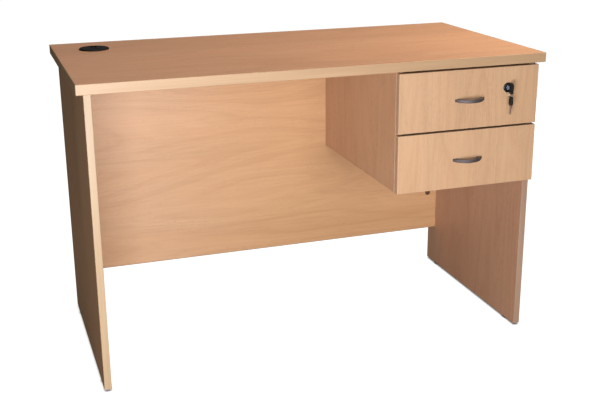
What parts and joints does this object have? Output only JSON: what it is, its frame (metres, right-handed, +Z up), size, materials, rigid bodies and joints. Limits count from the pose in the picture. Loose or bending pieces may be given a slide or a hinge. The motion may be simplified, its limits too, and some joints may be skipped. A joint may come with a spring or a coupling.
{
  "type": "pedestal desk",
  "caption": "Beech-finish office desk on panel legs with a modesty panel and a hanging drawer pedestal: drawers on roller runners, bow handles, cam lock with keys, cable grommet.",
  "frame": {"origin": "on the floor, under the middle of the overall width and depth", "axes": "+X to the user's right along the desktop, +Y from the user to the back, +Z up"},
  "size_m": [1.2, 0.625, 0.7794],
  "materials": {
    "beech_board": "satin melamine, beech grain",
    "beech_front": "satin melamine, upright beech grain",
    "beech_edging": "satin edging strip",
    "drawer_box_board": "satin melamine",
    "drawer_bottom_board": "thin hardboard",
    "dowel_wood": "bare wood",
    "satin_nickel": "dark satin plated",
    "lock_metal": "polished plated",
    "lock_black": "gloss black",
    "dark_steel": "black coated",
    "cap_plastic": "moulded, brown",
    "key_metal": "plated",
    "key_plastic": "moulded, black",
    "zinc_hardware": "zinc plated",
    "runner_coated_steel": "epoxy coated",
    "roller_nylon": "moulded nylon",
    "black_plastic": "moulded, black"
  },
  "bodies": {
    "desk_frame": {"desktop_panel": "beech_board", "left_leg_panel": "beech_board", "right_leg_panel": "beech_board", "modesty_panel": "beech_board", "pedestal_side_panel": "beech_board", "pedestal_bottom_panel": "beech_board", "desktop_edging": "beech_edging", "left_leg_edging": "beech_edging", "right_leg_edging": "beech_edging", "modesty_edging": "beech_edging", "pedestal_edging": "beech_edging", "floor_glides": "black_plastic", "cam_discs": "zinc_hardware", "cam_caps": "cap_plastic", "cam_bolts": "zinc_hardware", "wood_dowels": "dowel_wood", "upper_cabinet_runners": "runner_coated_steel", "lower_cabinet_runners": "runner_coated_steel", "cabinet_runner_screws": "zinc_hardware", "lock_strike": "dark_steel", "lock_strike_screws": "zinc_hardware", "grommet_sleeve": "black_plastic"},
    "upper_drawer": {"upper_drawer_front": "beech_front", "upper_drawer_front_edging": "beech_edging", "upper_drawer_left_side": "drawer_box_board", "upper_drawer_right_side": "drawer_box_board", "upper_drawer_back": "drawer_box_board", "upper_drawer_bottom": "drawer_bottom_board", "upper_drawer_dowels": "dowel_wood", "upper_drawer_screws": "zinc_hardware", "upper_drawer_handle": "satin_nickel", "upper_drawer_handle_screws": "zinc_hardware", "upper_drawer_runners": "runner_coated_steel", "lock_housing": "lock_black", "lock_nut": "zinc_hardware"},
    "lower_drawer": {"lower_drawer_front": "beech_front", "lower_drawer_front_edging": "beech_edging", "lower_drawer_left_side": "drawer_box_board", "lower_drawer_right_side": "drawer_box_board", "lower_drawer_back": "drawer_box_board", "lower_drawer_bottom": "drawer_bottom_board", "lower_drawer_dowels": "dowel_wood", "lower_drawer_screws": "zinc_hardware", "lower_drawer_handle": "satin_nickel", "lower_drawer_handle_screws": "zinc_hardware", "lower_drawer_runners": "runner_coated_steel"},
    "upper_front_rollers": {"upper_cabinet_rollers": "roller_nylon"},
    "lower_front_rollers": {"lower_cabinet_rollers": "roller_nylon"},
    "upper_rear_rollers": {"upper_drawer_rollers": "roller_nylon"},
    "lower_rear_rollers": {"lower_drawer_rollers": "roller_nylon"},
    "lock_plug": {"lock_cylinder": "lock_metal", "lock_cam": "zinc_hardware", "lock_cam_screw": "zinc_hardware"},
    "key": {"key_blade": "key_metal", "key_bow": "key_plastic"},
    "key_ring": {"key_ring": "key_metal"},
    "spare_key": {"spare_key_blade": "key_metal", "spare_key_bow": "key_plastic"},
    "grommet_cap": {"grommet_cover": "black_plastic"},
    "grommet_shutter": {"grommet_shutter": "black_plastic"}
  },
  "joints": [
    {"name": "upper_drawer_slide", "type": "slide", "parent": "desk_frame", "child": "upper_drawer", "axis": [0, -1, 0], "range_m": [0, 0.34]},
    {"name": "lower_drawer_slide", "type": "slide", "parent": "desk_frame", "child": "lower_drawer", "axis": [0, -1, 0], "range_m": [0, 0.34]},
    {"name": "upper_front_roller_spin", "type": "hinge", "parent": "desk_frame", "child": "upper_front_rollers", "pos_m": [0.384, -0.2515, 0.6188], "axis": [1, 0, 0], "range_deg": [-5, 2300]},
    {"name": "lower_front_roller_spin", "type": "hinge", "parent": "desk_frame", "child": "lower_front_rollers", "pos_m": [0.384, -0.2515, 0.4668], "axis": [1, 0, 0], "range_deg": [-5, 2300]},
    {"name": "upper_rear_roller_spin", "type": "hinge", "parent": "upper_drawer", "child": "upper_rear_rollers", "pos_m": [0.384, 0.1625, 0.6188], "axis": [1, 0, 0], "range_deg": [-5, 2300]},
    {"name": "lower_rear_roller_spin", "type": "hinge", "parent": "lower_drawer", "child": "lower_rear_rollers", "pos_m": [0.384, 0.1625, 0.4668], "axis": [1, 0, 0], "range_deg": [-5, 2300]},
    {"name": "lock_turn", "type": "hinge", "parent": "upper_drawer", "child": "lock_plug", "pos_m": [0.493, -0.2855, 0.6905], "axis": [0, 1, 0], "range_deg": [0, 90]},
    {"name": "key_withdraw", "type": "slide", "parent": "lock_plug", "child": "key", "axis": [0, -1, 0], "range_m": [0, 0.03]},
    {"name": "key_ring_swing", "type": "hinge", "parent": "key", "child": "key_ring", "pos_m": [0.493, -0.3045, 0.6799], "axis": [1, 0, 0], "range_deg": [-40, 5]},
    {"name": "spare_key_swing", "type": "hinge", "parent": "key_ring", "child": "spare_key", "pos_m": [0.493, -0.3045, 0.6649], "axis": [1, 0, 0], "range_deg": [-40, 5]},
    {"name": "grommet_cap_lift", "type": "slide", "parent": "desk_frame", "child": "grommet_cap", "axis": [0, 0, 1], "range_m": [0, 0.02]},
    {"name": "grommet_shutter_turn", "type": "hinge", "parent": "grommet_cap", "child": "grommet_shutter", "pos_m": [-0.494, 0.1885, 0.7737], "axis": [0, 0, 1], "range_deg": [0, 180]}
  ],
  "couplings": [
    {"joint": "upper_front_roller_spin", "follows": "upper_drawer_slide", "rad_per_m": 117.65},
    {"joint": "upper_rear_roller_spin", "follows": "upper_drawer_slide", "rad_per_m": 117.65},
    {"joint": "lower_front_roller_spin", "follows": "lower_drawer_slide", "rad_per_m": 117.65},
    {"joint": "lower_rear_roller_spin", "follows": "lower_drawer_slide", "rad_per_m": 117.65}
  ]
}
